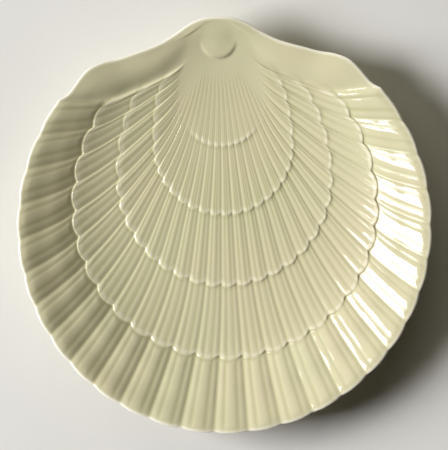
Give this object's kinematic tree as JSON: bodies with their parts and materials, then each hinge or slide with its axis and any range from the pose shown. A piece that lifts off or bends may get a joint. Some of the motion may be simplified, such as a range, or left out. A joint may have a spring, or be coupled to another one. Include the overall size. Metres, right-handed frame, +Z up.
{
  "type": "salad plate",
  "caption": "Scallop shell salad plate: a shallow glazed dish of overlapping ribbed tiers with a scalloped rim, winged hinge and boss, standing on a foot ring.",
  "frame": {"origin": "on the table, under the middle of the plate's bounding box", "axes": "+Z up from the table, +Y towards the hinge of the shell, +X to the right seen from above with the hinge at the top"},
  "size_m": [0.2106, 0.2108, 0.026],
  "materials": {
    "glaze": "glossy pale celadon cream glaze over cream earthenware",
    "bare_clay": "unglazed, ground foot"
  },
  "bodies": {
    "root": {"shell_dish": "glaze", "foot_ring": "bare_clay"}
  },
  "joints": []
}
